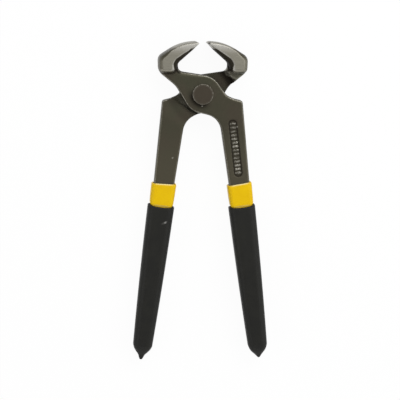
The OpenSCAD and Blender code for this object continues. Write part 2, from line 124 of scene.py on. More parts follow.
def forgedSteel():
    look = steelLook
    material, tree = newMaterial("black_oxide_forged_steel")
    coords = addNode(tree, "ShaderNodeTexCoord").outputs
    place = coords["Object"]
    wornAndLit, rubbed, ground, tipLight, sootAndShade, handled, dull = (
        addNode(tree, "ShaderNodeAttribute", attribute_name=name).outputs["Fac"]
        for name in ("edgeWearAndHighlight", "rubbed", "ground", "tipLight", "sootAndShade", "handled", "dull"))
    blotch, grain, rub, patch, pits, fleck = (
        addNode(tree, "ShaderNodeTexNoise", {"Vector": place, "Scale": perMetre(look[name]),
                                             "Detail": 2.0}).outputs["Fac"]
        for name in ("blotch", "grain", "rub", "patch", "pits", "fleck"))

    # The oxide, a little paler where hands slide, and darker where soot is left and where shade is painted
    tone = addNode(tree, "ShaderNodeMapRange", ends(blotch, *look["tone"]))
    oxide = addNode(tree, "ShaderNodeMix", {"Factor": tone.outputs[0], colourA: linear(look["olive"]),
                                            colourB: linear(look["brown"])}, data_type="RGBA")
    used = addNode(tree, "ShaderNodeMix", {"Factor": handled, colourA: oxide.outputs[colourOut],
                                           colourB: linear(look["handled"])}, data_type="RGBA")
    sootyAndShaded = addNode(tree, "ShaderNodeMix", {"Factor": sootAndShade, colourA: used.outputs[colourOut],
                                            colourB: linear(look["sootAndShade"])}, data_type="RGBA")

    # Bare steel with a painted highlight runs as a thin broken line along the crest of each rounded edge
    lift = addNode(tree, "ShaderNodeSeparateXYZ", {0: coords["Normal"]})
    steep = addNode(tree, "ShaderNodeMath", {0: lift.outputs["Z"]}, operation="ABSOLUTE")
    rise, fall = (
        addNode(tree, "ShaderNodeMapRange", ends(steep.outputs[0], *look[name]), interpolation_type="SMOOTHSTEP")
        for name in ("rise", "fall"))
    crest = addNode(tree, "ShaderNodeMath", {0: rise.outputs[0], 1: fall.outputs[0]}, operation="MULTIPLY")
    fine = addNode(tree, "ShaderNodeMapRange", ends(rub, *look["fine"]))
    broad = addNode(tree, "ShaderNodeMapRange", ends(patch, *look["broad"]))
    broken = addNode(tree, "ShaderNodeMath", {0: fine.outputs[0], 1: broad.outputs[0]}, operation="MULTIPLY")
    edge = addNode(tree, "ShaderNodeMath", {0: wornAndLit, 1: crest.outputs[0]}, operation="MULTIPLY")
    edgeBroken = addNode(tree, "ShaderNodeMath", {0: edge.outputs[0], 1: broken.outputs[0]}, operation="MULTIPLY")
    # Rubbed spots, and the painted glints on the panel's ribs, broken up by fine flecks
    glint = addNode(tree, "ShaderNodeMapRange", ends(fleck, *look["glint"]))
    spots = addNode(tree, "ShaderNodeMath", {0: rubbed, 1: glint.outputs[0]}, operation="MULTIPLY")
    wornAndLitShare = addNode(tree, "ShaderNodeMath", {0: edgeBroken.outputs[0], 1: spots.outputs[0]}, operation="MAXIMUM")
    wornAndLitColour = addNode(tree, "ShaderNodeMix", {"Factor": wornAndLitShare.outputs[0], colourA: sootyAndShaded.outputs[colourOut],
                                           colourB: linear(look["wornAndLit"])}, data_type="RGBA")

    # Ground cheeks: brighter toward the tips with painted light, with fine lines and a few dark pits
    along = addNode(tree, "ShaderNodeMapping", {"Vector": place, "Scale": look["lineStretch"]})
    lines = addNode(tree, "ShaderNodeTexNoise", {"Vector": along.outputs[0], "Scale": perMetre(look["lines"]),
                                                 "Detail": 1.0})
    lineShade = addNode(tree, "ShaderNodeMapRange", ends(lines.outputs["Fac"], *look["lineShade"]))
    pitShade = addNode(tree, "ShaderNodeMapRange", ends(pits, *look["pitShade"]))
    shade = addNode(tree, "ShaderNodeMath", {0: lineShade.outputs[0], 1: pitShade.outputs[0]}, operation="MULTIPLY")
    bright = addNode(tree, "ShaderNodeMix", {"Factor": tipLight, colourA: linear(look["groundFoot"]),
                                             colourB: linear(look["groundTip"])}, data_type="RGBA")
    cheek = addNode(tree, "ShaderNodeMix", {"Factor": 1.0, colourA: bright.outputs[colourOut],
                                            colourB: shade.outputs[0]}, data_type="RGBA", blend_type="MULTIPLY")
    # Pale ground steel, also carrying painted light on the root's block and along the slope's crease
    colour = addNode(tree, "ShaderNodeMix", {"Factor": ground, colourA: wornAndLitColour.outputs[colourOut],
                                             colourB: cheek.outputs[colourOut]}, data_type="RGBA")

    rough = addNode(tree, "ShaderNodeMapRange", ends(grain, *look["roughness"]))
    wornRough = addNode(tree, "ShaderNodeMix", {"Factor": wornAndLitShare.outputs[0], numberA: rough.outputs[0],
                                                numberB: look["wornRoughness"]})
    finalRough = addNode(tree, "ShaderNodeMix", {"Factor": ground, numberA: wornRough.outputs[0],
                                                 numberB: look["groundRoughness"]})
    paleShare = addNode(tree, "ShaderNodeMath", {0: wornAndLitShare.outputs[0], 1: ground}, operation="MAXIMUM")
    dullLeft = addNode(tree, "ShaderNodeMath", {0: dull, 1: paleShare.outputs[0]}, operation="SUBTRACT",
                       use_clamp=True)
    metal = addNode(tree, "ShaderNodeMath", {0: 1.0, 1: dullLeft.outputs[0]}, operation="SUBTRACT")
    height = addNode(tree, "ShaderNodeMath", {0: grain, 1: blotch}, operation="ADD")
    bump = addNode(tree, "ShaderNodeBump", {"Height": height.outputs[0], "Strength": look["bump"],
                                            "Distance": look["bumpDepth"] * mm})
    shader = addNode(tree, "ShaderNodeBsdfPrincipled", {"Base Color": colour.outputs[colourOut],
                                                        "Metallic": metal.outputs[0],
                                                        "Roughness": finalRough.outputs[0],
                                                        "Specular IOR Level": look["shine"],
                                                        "Normal": bump.outputs[0]})
    addNode(tree, "ShaderNodeOutputMaterial", {"Surface": shader.outputs[0]})
    return material


# Turned rivet steel, blacked with the levers: concentric tool marks and a rubbed rim, with a painted highlight
# toward its top

rivetLook = {
    "oxide": "#474138", "wornAndLit": "#98958b", "marks": 0.35, "mottle": 3, "rub": 1.2, "roughness": 0.44,
    "tone": (0, 1, 0.92, 1.08), "fine": (0.35, 0.62, 0.15, 1), "waver": 0.6, "bump": 0.12, "bumpDepth": 0.03,
}
waveFactor = 20  # the Wave node multiplies the distance by this


def turnedSteel():
    look = rivetLook
    material, tree = newMaterial("black_oxide_turned_steel")
    place = addNode(tree, "ShaderNodeTexCoord").outputs["Object"]
    wornAndLit = addNode(tree, "ShaderNodeAttribute", attribute_name="edgeWearAndHighlight").outputs["Fac"]
    centred = addNode(tree, "ShaderNodeMapping", {"Vector": place, "Location": [-x for x in pivot]})
    marks = addNode(tree, "ShaderNodeTexWave", {"Vector": centred.outputs[0], "Detail": 1.0,
                                                "Scale": perMetre(look["marks"]) / waveFactor,
                                                "Distortion": look["waver"]},
                    wave_type="RINGS", rings_direction="Z")
    mottle, rub = (
        addNode(tree, "ShaderNodeTexNoise", {"Vector": place, "Scale": perMetre(look[name]), "Detail": 3.0})
        for name in ("mottle", "rub"))
    tone = addNode(tree, "ShaderNodeMapRange", ends(mottle.outputs["Fac"], *look["tone"]))
    fine = addNode(tree, "ShaderNodeMapRange", ends(rub.outputs["Fac"], *look["fine"]))
    rim = addNode(tree, "ShaderNodeMath", {0: wornAndLit, 1: fine.outputs[0]}, operation="MULTIPLY")
    tint = addNode(tree, "ShaderNodeMix", {"Factor": 1.0, colourA: linear(look["oxide"]),
                                           colourB: tone.outputs["Result"]}, data_type="RGBA", blend_type="MULTIPLY")
    colour = addNode(tree, "ShaderNodeMix", {"Factor": rim.outputs[0], colourA: tint.outputs[colourOut],
                                             colourB: linear(look["wornAndLit"])}, data_type="RGBA")
    bump = addNode(tree, "ShaderNodeBump", {"Height": marks.outputs["Fac"], "Strength": look["bump"],
                                            "Distance": look["bumpDepth"] * mm})
    shader = addNode(tree, "ShaderNodeBsdfPrincipled", {"Base Color": colour.outputs[colourOut], "Metallic": 1.0,
                                                        "Roughness": look["roughness"],
                                                        "Normal": bump.outputs[0]})
    addNode(tree, "ShaderNodeOutputMaterial", {"Surface": shader.outputs[0]})
    return material


# Dip-moulded soft PVC: smooth skin from the dip, faint clouds of pigment, a slight orange peel and painted
# highlights on the rims. The black one has a pale scuff on the left grip, placed in mm from the rivet.

yellowLook = {
    "name": "dipped_pvc_yellow", "colour": "#e3bb06", "cloud": "#dfb505", "scuffed": "#e8c63c", "rim": "#fff0b0",
    "roughness": 0.38, "peel": 1.6, "peelDepth": 0.03,
}
blackLook = {
    "name": "dipped_pvc_black", "colour": "#20201e", "cloud": "#232320", "scuffed": "#858380", "rim": "#383835",
    "roughness": 0.46, "peel": 1.1, "peelDepth": 0.04,
}
vinyl = {"clouds": 7, "tone": (0.35, 0.65), "skin": (0.3, 0.7), "unevenness": 0.05, "shine": 0.12, "bump": 0.3}
scuff = {"at": (-23.4, -79.8, 5.6), "turn": 25, "half": (2.7, 0.85, 3), "edge": (0.8, 1.4, 1, 0),
         "stroke": (-0.1, 0.25, 0.2, 1)}


def dippedVinyl(look):
    material, tree = newMaterial(look["name"])
    place = addNode(tree, "ShaderNodeTexCoord").outputs["Object"]
    cloud = addNode(tree, "ShaderNodeTexNoise", {"Vector": place, "Scale": perMetre(vinyl["clouds"]), "Detail": 3.0})
    peel = addNode(tree, "ShaderNodeTexNoise", {"Vector": place, "Scale": perMetre(look["peel"]), "Detail": 2.0})
    tone = addNode(tree, "ShaderNodeMapRange", ends(cloud.outputs["Fac"], *vinyl["tone"]))
    dyed = addNode(tree, "ShaderNodeMix", {"Factor": tone.outputs[0], colourA: linear(look["colour"]),
                                           colourB: linear(look["cloud"])}, data_type="RGBA")
    offset = addNode(tree, "ShaderNodeMapping", {
        "Vector": place, "Location": tuple(pivot + np.array(scuff["at"]) * mm),
        "Rotation": (0, 0, math.radians(scuff["turn"])), "Scale": tuple(h * mm for h in scuff["half"])},
        vector_type="TEXTURE")
    away = addNode(tree, "ShaderNodeVectorMath", {0: offset.outputs[0]}, operation="LENGTH")
    ragged = addNode(tree, "ShaderNodeMath", {0: away.outputs["Value"], 1: peel.outputs["Fac"]}, operation="ADD")
    rubbed = addNode(tree, "ShaderNodeMapRange", ends(ragged.outputs[0], *scuff["edge"]))
    along = addNode(tree, "ShaderNodeSeparateXYZ", {0: offset.outputs[0]})
    stroke = addNode(tree, "ShaderNodeMapRange", ends(along.outputs["X"], *scuff["stroke"]))
    scraped = addNode(tree, "ShaderNodeMath", {0: rubbed.outputs[0], 1: stroke.outputs[0]}, operation="MULTIPLY")
    marked = addNode(tree, "ShaderNodeMix", {"Factor": scraped.outputs[0], colourA: dyed.outputs[colourOut],
                                             colourB: linear(look["scuffed"])}, data_type="RGBA")
    # Painted highlights on the collars' rims
    rolled = addNode(tree, "ShaderNodeAttribute", attribute_name="rim")
    colour = addNode(tree, "ShaderNodeMix", {"Factor": rolled.outputs["Fac"], colourA: marked.outputs[colourOut],
                                             colourB: linear(look["rim"])}, data_type="RGBA")
    smoothest, roughest = look["roughness"] - vinyl["unevenness"], look["roughness"] + vinyl["unevenness"]
    rough = addNode(tree, "ShaderNodeMapRange", ends(peel.outputs["Fac"], *vinyl["skin"], smoothest, roughest))
    bump = addNode(tree, "ShaderNodeBump", {"Height": peel.outputs["Fac"], "Strength": vinyl["bump"],
                                            "Distance": look["peelDepth"] * mm})
    shader = addNode(tree, "ShaderNodeBsdfPrincipled", {"Base Color": colour.outputs[colourOut],
                                                        "Roughness": rough.outputs["Result"],
                                                        "Specular IOR Level": vinyl["shine"],
                                                        "Normal": bump.outputs[0]})
    addNode(tree, "ShaderNodeOutputMaterial", {"Surface": shader.outputs[0]})
    return material


leverSteel = forgedSteel()
rivetSteel = turnedSteel()
yellowVinyl = dippedVinyl(yellowLook)
blackVinyl = dippedVinyl(blackLook)
print("materials made")


# Levers: the forging's skin is remeshed so that its edges roll over softly, and each point of it is
# marked as rubbed edge, ground cheek or sooty hollow, and some also with painted light and painted
# shade. Sizes are mm from the rivet, as the front lever lies.

lever = {
    "voxel": 0.36, "smoothing": 4, "softening": 0.5,
    # The handle's flat faces, its leaning middle line and its section
    "face": 5.05, "back": -3.35, "frontFrom": 4, "lean": 7.15, "axisX": 16.35, "axisZ": 0.85,
    "halfWidth": 7.9, "taper": 0.0281, "halfThick": 4.2,
    # The sunk panel and its ribs
    "panelMiddle": 33.6, "panelLength": 35.5, "panelWidth": 5, "panelEdge": 0.6, "panelFloor": 0.12,
    "ribs": 14, "ribLow": 0.42, "ribHigh": 0.28,
    # The slope beside the lap: the lap's edge, the way its straight flank faces, and the rounds of easing
    "lapEdge": 11.8, "lapFlank": (0.816, -0.579), "slopeEnd": 24, "slopeDepth": 4, "slopeStart": 0.05,
    "slopeFloor": 2.6, "easing": 14,
    # The jaw and its mouth, and how far in from the jaw's sides each ground place reaches
    "jawHalf": 10, "mouthFloor": 14.2, "mouthCorner": (-11.9, 17.2, 3.5), "cornerTop": 9,
    "cheekIn": 0.6, "heelIn": 2, "insideIn": 0.8, "borderIn": 1.5, "cheekFrom": 13, "cheekOut": 5.5,
    # How pale each jaw's outer back is; the rear lever's is paler with painted light
    "backGroundAndLit": {"front_lever": 0.3, "rear_lever": 0.6},
    # The root behind the other lap, and the pale block at its end with the ways its two edges face
    "rootWall": 20.9, "rootStart": 0.15, "rootEdge": 22.5, "rootTilt": 0.3, "block": (14.7, 11.4),
    "blockSide": (0.88, 0.47), "blockFoot": (0.41, 0.91), "blockIn": 1.5, "blockEnd": 26, "blockDepth": 1.2,
    "litFrom": 18.2,
    # The way to the light from the rivet, whose head shades the other side
    "headLight": (0.6, 0.8),
    # How dark each place of soot and painted shade is, from 0 to 1
    "sootAndShade": {"mouth": 0.72, "corner": 0.9, "block": 0.9, "crevice": 0.6, "slope": 0.42, "panel": 0.35,
             "panelWall": 0.85, "rivet": 0.9},
}
# Where each mark starts and where it is full: mm, degrees, a part of the normal, or curvature per mm
fades = {
    # Slope beside the lap
    "slopeTilt": (-0.05, -0.4), "slopeFacing": (0.45, 0.75), "slopeShade": (10.5, 6), "shadeUp": (-10, -4),
    "creaseDepth": (1.2, 2.2), "creaseGap": (3, 1.5), "creaseDown": (-3, -6), "slopeDull": (12, 8),
    "slopeWear": (2.5, 5.5),
    # Ground jaw
    "cheekFlat": (0.93, 0.985), "heelDown": (-0.1, -0.3), "heelTilt": (0.3, 0.55), "heelTurn": (0.1, 0.02),
    "insideCurve": (0.1, 0.3), "insideTurn": (0.02, 0.08), "crownAcross": (-19.5, -15.5), "crownUp": (0.15, 0.45),
    "tip": (27.4, 29.2), "backTurn": (-0.15, -0.45), "backDown": (24, 20), "borderCurve": (0.1, 0.35),
    "borderUp": (0.08, 0.25), "tipLight": (24, 33), "tipLightUp": (0.1, 0.4),
    # Mouth, root and pale block
    "mouthTurn": (0.08, 0.28), "cornerGap": (2.3, 1.8), "cornerRound": (165, 135), "rootOut": (14.5, 17.8),
    "lit": (-0.3, 0.5), "wallTilt": (-0.95, -0.8), "rimIn": (0, 0.4), "rimOut": (1.5, 0.7),
    # Panel
    "panelTilt": (0.97, 0.85), "margin": (1.5, 2), "ribTilt": (0.4, 0.8), "glint": (2.1, 1.6),
    # Soot and wear
    "headGap": (10.8, 6.6), "headSide": (0.1, 0.9), "hollow": (0.15, 0.6), "sootAndShadeDull": (0, 0.4),
    "edgeCurve": (0.22, 0.55), "handleWear": (12, 26), "upHighlight": (0.1, 0.6), "handled": (14, 50),
}
# Small rubbed spots on each lever: place, radius and strength
rubs = {
    "front_lever": [((-0.3, -7.2, 5.05), 0.6, 0.8), ((21.4, -19.9, 5.05), 0.7, 0.6)],
    "rear_lever": [((-15.7, 12.6, -2.2), 1.8, 1.0), ((-16.6, 11.2, -2.8), 1.3, 0.7),
                   ((18.27, -39.36, -3.35), 0.7, 0.8)],
}
rubCore = 0.35  # share of a spot's radius that is rubbed fully
# Darker corner of one tip: a drop that thins out along the cutting edge
darkTip = {
    "rear_lever": {"start": (-2.9, 31.65, -9.4), "end": (-2.9, 31.9, -4.4), "wide": 1.7, "narrow": 1.2,
                   "strength": 1, "fade": 0.6, "ragged": 0.12, "waves": (5.3, 3.7), "edge": (1, 0.3)},
}
turnOver = np.array([-1, 1, -1])  # the rear lever is the same forging turned over
tiny = 1e-6


def asFront(points, rear):  # mm from the rivet
    local = (points - pivot) / mm
    return local * turnOver if rear else local


def readMesh(mesh):
    points = np.empty(len(mesh.vertices) * 3)
    normals = np.empty(len(mesh.vertices) * 3)
    edges = np.empty(len(mesh.edges) * 2, int)
    mesh.vertices.foreach_get("co", points)
    mesh.vertices.foreach_get("normal", normals)
    mesh.edges.foreach_get("vertices", edges)
    return points.reshape(-1, 3), normals.reshape(-1, 3), edges.reshape(-1, 2)


def spread(values, edges, times):  # average with the neighbours
    a, b = edges.T
    count = np.bincount(a, minlength=len(values)) + np.bincount(b, minlength=len(values)) + 1
    for _ in range(times):
        total = np.bincount(a, values[b], len(values)) + np.bincount(b, values[a], len(values))
        values = (values + total) / count
    return values


def bulge(points, normals, edges):  # mean curvature per mm, positive on outer edges
    a, b = edges.T
    step = (points[b] - points[a]) / mm
    square = (step * step).sum(1)
    fromA = -2 * (normals[a] * step).sum(1) / square
    fromB = 2 * (normals[b] * step).sum(1) / square
    count = np.bincount(a, minlength=len(points)) + np.bincount(b, minlength=len(points))
    return (np.bincount(a, fromA, len(points)) + np.bincount(b, fromB, len(points))) / np.maximum(count, 1)


def setMark(mesh, name, values):
    mark = mesh.attributes.new(name, "FLOAT", "POINT")
    mark.data.foreach_set("value", np.clip(values, 0, 1).astype(np.float32))


def remeshed(node):
    raw = bpy.data.objects.new("raw", frame["nodes"][node].data.copy())
    scene.collection.objects.link(raw)
    skin = raw.modifiers.new("skin", "REMESH")
    skin.mode = "VOXEL"
    skin.voxel_size = lever["voxel"] * mm
    soften = raw.modifiers.new("soften", "SMOOTH")
    soften.factor = lever["softening"]
    soften.iterations = lever["smoothing"]
    ready = raw.evaluated_get(bpy.context.evaluated_depsgraph_get())
    mesh = bpy.data.meshes.new_from_object(ready)
    bpy.data.objects.remove(raw)
    return mesh


def near(local, spots):
    values = np.zeros(len(local))
    for at, radius, strength in spots:
        away = np.linalg.norm(local - np.array(at), axis=1)
        values = np.maximum(values, strength * smoothStep(radius, radius * rubCore, away))
    return values


def darkTipMark(local, node):
    if node not in darkTip:
        return np.zeros(len(local))
    v = darkTip[node]
    start, run = np.array(v["start"]), np.subtract(v["end"], v["start"])
    share = np.clip((local - start) @ run / (run @ run), 0, 1)
    away = np.linalg.norm(local - start - share[:, None] * run, axis=1)
    waveX, waveZ = v["waves"]
    ragged = 1 + v["ragged"] * np.sin(waveZ * local[:, 2]) * np.sin(waveX * local[:, 0])
    reach = v["wide"] + (v["narrow"] - v["wide"]) * share
    return v["strength"] * (1 - v["fade"] * share) * smoothStep(*v["edge"], away * ragged / reach)


def fade(name, value):
    return smoothStep(*fades[name], value)


def makeLever(name, node, body, rear):
    v, sootAndShadeOf = lever, lever["sootAndShade"]
    mesh = remeshed(node)
    points, normals, edges = readMesh(mesh)
    x, y, z = asFront(points, rear).T
    nx, ny, nz = (normals * turnOver if rear else normals).T
    lean = math.radians(v["lean"])
    s = (x - v["axisX"]) * math.sin(lean) - y * math.cos(lean)  # along the handle
    u = (x - v["axisX"]) * math.cos(lean) + y * math.sin(lean)  # across it
    reach = np.hypot(x, y)

    # The slope beside the lap runs softly into the handle's face
    acrossX, acrossY = v["lapFlank"]
    alongFlank = y * acrossX - x * acrossY > 0
    lapGap = np.where(alongFlank, x * acrossX + y * acrossY, reach) - v["lapEdge"]
    depth = z - v["back"]
    byLap = (x > 0) & (lapGap > 0) & (s < v["slopeEnd"]) & (depth < v["slopeDepth"])
    facing = -(nx * acrossX + ny * acrossY) / np.maximum(np.hypot(nx, ny), tiny)
    slope = byLap * fade("slopeTilt", nz) * np.where(depth < v["slopeStart"], 1, fade("slopeFacing", facing))
    eased = spread(depth * slope, edges, v["easing"]) / np.maximum(spread(slope, edges, v["easing"]), tiny)
    eased = np.where(depth > v["slopeFloor"], np.maximum(eased, depth), eased)
    points[:, 2] += (-1 if rear else 1) * slope * (eased - depth) * mm
    mesh.vertices.foreach_set("co", points.ravel())
    mesh.update()
    points, normals, edges = readMesh(mesh)
    local = asFront(points, rear)
    x, y, z = local.T
    nx, ny, nz = (normals * turnOver if rear else normals).T
    depth = z - v["back"]
    curve = spread(bulge(points, normals, edges), edges, 1)

    # Ground: the flat cheeks, the crown near the tips, the jaws' outer backs and everything at the cutting edge;
    # painted light makes the cheeks brighter toward the tips and the right jaw's back paler
    jaw = (y > v["mouthFloor"]) & (x < 0)
    outward = np.abs(z)
    cheek = jaw * (outward > v["jawHalf"] - v["cheekIn"]) * fade("cheekFlat", np.abs(nz))
    heel = jaw * (outward > v["jawHalf"] - v["heelIn"]) * fade("heelDown", ny) * fade("heelTilt", np.abs(nz))
    heel = heel * fade("heelTurn", nx)
    inside = jaw * (outward > v["jawHalf"] - v["insideIn"]) * fade("insideCurve", curve) * fade("insideTurn", nx)
    crown = jaw * fade("crownAcross", x) * fade("crownUp", ny)
    tip = fade("tip", y) * jaw
    back = jaw * fade("backTurn", nx) * fade("backDown", y) * v["backGroundAndLit"][node]
    # Painted shade: the cheek's rounded upper border is made less pale
    border = jaw * (outward > v["jawHalf"] - v["borderIn"]) * fade("borderCurve", curve) * fade("borderUp", ny)
    ground = np.maximum.reduce([cheek, heel, 0.8 * inside, crown, tip, back]) * (1 - 0.2 * border)
    tipLight = fade("tipLight", y) * (1 - 0.8 * fade("tipLightUp", ny))
    tipLight = np.maximum(tipLight, 0.7 * inside)

    # The mouth's walls and the slope lie in shade
    mouth = jaw * fade("mouthTurn", nx) * (1 - tip)
    cornerX, cornerY, cornerR = v["mouthCorner"]
    turned = np.degrees(np.arctan2(cornerX - x, y - cornerY)) % 360
    corner = fade("cornerGap", np.hypot(x - cornerX, y - cornerY) - cornerR) * (x < cornerX)
    corner = corner * (z < v["cornerTop"]) * fade("cornerRound", turned) * (y < cornerY)
    onSlope = byLap & (nz < fades["slopeTilt"][0])
    shade = onSlope * fade("slopeShade", lapGap) * (0.6 + 0.4 * fade("shadeUp", y))
    # The crease at the foot of the slope, lightened with painted light, more toward its lower end
    crease = onSlope * fade("creaseDepth", depth) * fade("creaseGap", lapGap)
    crease = crease * (0.4 + 0.6 * fade("creaseDown", y))

    # The root is darkened with soot and painted shade up to the block, which painted light makes pale with a
    # brighter rim
    root = (x <= 0) & (reach < v["rootWall"]) & (depth > v["rootStart"]) & (depth < v["slopeDepth"])
    root = root & (nz < v["rootTilt"])
    blockX, blockY = v["block"]
    side, foot = ((-x - blockX) * toX + (y - blockY) * toY for toX, toY in (v["blockSide"], v["blockFoot"]))
    within = np.minimum(side, foot)
    block = (x < 0) & (reach >= v["rootWall"] - v["blockIn"]) & (reach < v["blockEnd"])
    block = block & (depth < v["blockDepth"]) & (y < v["mouthFloor"])
    lit = fade("lit", within) * (reach > v["litFrom"]) * (x < 0)
    rootSootAndShade = np.maximum(root * (0.3 + 0.62 * fade("rootOut", reach)), sootAndShadeOf["block"] * block) * (1 - lit)
    wall = lit * (root | block) * fade("wallTilt", nz)
    rim = fade("rimIn", within) * fade("rimOut", within)
    blockLit = lit * (root | block) * (np.where(nz > -0.9, 0.28, 0.18) + 0.25 * rim)
    # Painted light in the pale ground colour: the lit block and the crease beside the lap
    ground = np.maximum.reduce([ground, blockLit, 0.3 * crease])

    # The panel's sunk floor and walls are darkened with painted shade, and painted glints fall unevenly on the tops
    # of its ribs
    aside, away = np.abs(u), np.abs(s - v["panelMiddle"])
    inPanel = (aside < v["panelWidth"] / 2 + v["panelEdge"]) & (away < v["panelLength"] / 2 + v["panelEdge"])
    inPanel = inPanel & (z > v["frontFrom"])
    sunk = inPanel & (z < v["face"] - v["panelFloor"])
    offLine = np.hypot(u, np.maximum(away - (v["panelLength"] - v["panelWidth"]) / 2, 0))
    panelWall = np.maximum(inPanel * fade("panelTilt", nz), sunk * fade("margin", offLine))
    rib = np.round((s - v["panelMiddle"]) / (v["panelLength"] - v["panelWidth"]) * (v["ribs"] - 1))
    ribShare = 0.3 + 0.5 * np.abs(np.sin(rib * 2.7 + 0.8))
    ribTop = sunk * smoothStep(v["face"] - v["ribLow"], v["face"] - v["ribHigh"], z) * fade("ribTilt", nz)
    ribTop = ribTop * ribShare * fade("glint", offLine)

    # Soot and painted shade: a painted shadow below the rivet's head, soot with painted shade in concave hollows,
    # and the darker tip corner
    lightX, lightY = v["headLight"]
    headShadow = fade("headGap", reach) * fade("headSide", -(lightX * x + lightY * y) / (reach + tiny))
    headShadow = headShadow * (z > v["frontFrom"])
    crevice = fade("hollow", -curve)
    tipDarkness = darkTipMark(local, node)
    # Soot and painted shade together set how dark each point is
    sootAndShade = np.maximum.reduce([
        sootAndShadeOf["mouth"] * mouth, sootAndShadeOf["corner"] * corner, rootSootAndShade, sootAndShadeOf["crevice"] * crevice * ~onSlope,
        sootAndShadeOf["slope"] * shade, sootAndShadeOf["panel"] * sunk, sootAndShadeOf["panelWall"] * panelWall, sootAndShadeOf["rivet"] * headShadow,
        tipDarkness])
    dull = np.maximum.reduce([fade("sootAndShadeDull", sootAndShade), onSlope * fade("slopeDull", lapGap), wall])

    # Wear with a painted highlight: strong round the joint and the jaws, weaker down the handles, and little on the
    # slope and the root; edges facing up get more painted highlight
    wornAndLit = fade("edgeCurve", curve) * (1 - 0.5 * fade("handleWear", s))
    wornAndLit = wornAndLit * (0.55 + 0.45 * fade("upHighlight", ny))
    byRoot = (x < 0) & (reach < v["rootEdge"]) & (nz < v["rootTilt"]) & (depth < v["slopeDepth"])
    wornAndLit = wornAndLit * (1 - mouth) * ~inPanel * np.where(byRoot & (nx > -0.3), 0.15, 1)
    wornAndLit = wornAndLit * np.where(onSlope, fade("slopeWear", lapGap), 1)
    wornAndLit = wornAndLit * np.where(onSlope & (facing > 0.5), 0, 1) * np.where(byLap & (ny < 0.3), 0.6, 1)
    byCheek = (x < 0) & (y > v["cheekFrom"]) & (outward > v["cheekOut"])
    wornAndLit = wornAndLit * np.where(byCheek, np.where(nx > 0.05, 0.6, 0.1), 1)

    setMark(mesh, "edgeWearAndHighlight", spread(wornAndLit, edges, 1) * (1 - tipDarkness))
    # The rubbed attribute holds the rubbed spots and the painted glints on the panel's ribs
    setMark(mesh, "rubbed", np.maximum(ribTop, near(local, rubs[node])))
    setMark(mesh, "ground", ground * (1 - tipDarkness))
    setMark(mesh, "tipLight", tipLight)
    setMark(mesh, "handled", fade("handled", s))
    setMark(mesh, "dull", spread(dull, edges, 1))
    setMark(mesh, "sootAndShade", spread(sootAndShade, edges, 1))
    addPiece(name, mesh, body, node, leverSteel)
    print(name, "has", len(mesh.polygons), "faces")


makeLever("front_lever_forging", "front_lever", "front_half", False)
makeLever("rear_lever_forging", "rear_lever", "rear_half", True)


# Rivet: a turned flat head in front, a shank, and a peened dome behind

rivet = {"shank": 4, "head": 6.4, "headTop": 6.15, "face": 5.05, "backFace": -5.15, "peenLow": -6.55,
         "rim": 0.3, "peenEdge": 0.3, "faceRings": (2, 4, 5.2), "arcPoints": 7, "around": 128,
         # The rubbed rim: where it starts and is full, in rims from the edge, its least height, its strength and the
         # painted highlight added toward the top
         "wearFrom": 1.3, "wearFull": 0.6, "wearAbove": 0.2, "wear": 0.65, "upHighlight": 0.2}


def makeRivet():
    r = rivet
    arc = np.radians(np.linspace(0, 90, r["arcPoints"]))
    profile = [(0, r["headTop"])] + [(radius, r["headTop"]) for radius in r["faceRings"]]
    profile += [(r["head"] - r["rim"] + r["rim"] * math.sin(t), r["headTop"] - r["rim"] + r["rim"] * math.cos(t))
                for t in arc]
    profile += [(r["head"], r["face"]), (r["shank"], r["face"]), (r["shank"], r["backFace"]),
                (r["head"], r["backFace"])]
    depth = r["backFace"] - r["peenLow"]
    profile += [(r["head"] * math.cos(t), r["backFace"] - r["peenEdge"] - (depth - r["peenEdge"]) * math.sin(t))
                for t in arc[:-1]]
    profile += [(0, r["peenLow"])]
    turns = np.linspace(0, 2 * math.pi, r["around"], endpoint=False)
    points = [pivot + np.array([0, 0, profile[0][1]]) * mm]
    for radius, height in profile[1:-1]:
        points += [pivot + np.array([radius * math.cos(t), radius * math.sin(t), height]) * mm for t in turns]
    points.append(pivot + np.array([0, 0, profile[-1][1]]) * mm)
    n = r["around"]
    rings = len(profile) - 2
    last = len(points) - 1
    faces = [(0, 1 + i, 1 + (i + 1) % n) for i in range(n)]
    for k in range(rings - 1):
        low, high = 1 + k * n, 1 + (k + 1) * n
        faces += [(low + i, high + i, high + (i + 1) % n, low + (i + 1) % n) for i in range(n)]
    low = 1 + (rings - 1) * n
    faces += [(low + i, last, low + (i + 1) % n) for i in range(n)]
    mesh = bpy.data.meshes.new("rivet")
    mesh.from_pydata([tuple(p) for p in points], [], faces)
    mesh.update()
    local = (np.array(points) - pivot) / mm
    radius = np.hypot(local[:, 0], local[:, 1])
    rim = smoothStep(r["head"] - r["rim"] * r["wearFrom"], r["head"] - r["rim"] * r["wearFull"], radius)
    rim = rim * (local[:, 2] > r["face"] + r["wearAbove"])
    setMark(mesh, "edgeWearAndHighlight", rim * (r["wear"] + r["upHighlight"] * local[:, 1] / np.maximum(radius, 1)))
    addPiece("pivot_rivet_turned", mesh, "front_half", "pivot_rivet", rivetSteel)


makeRivet()
print("rivet turned")


# Sleeves: soft vinyl tubes lofted along the tapering tang, in mm along, across and through the handle

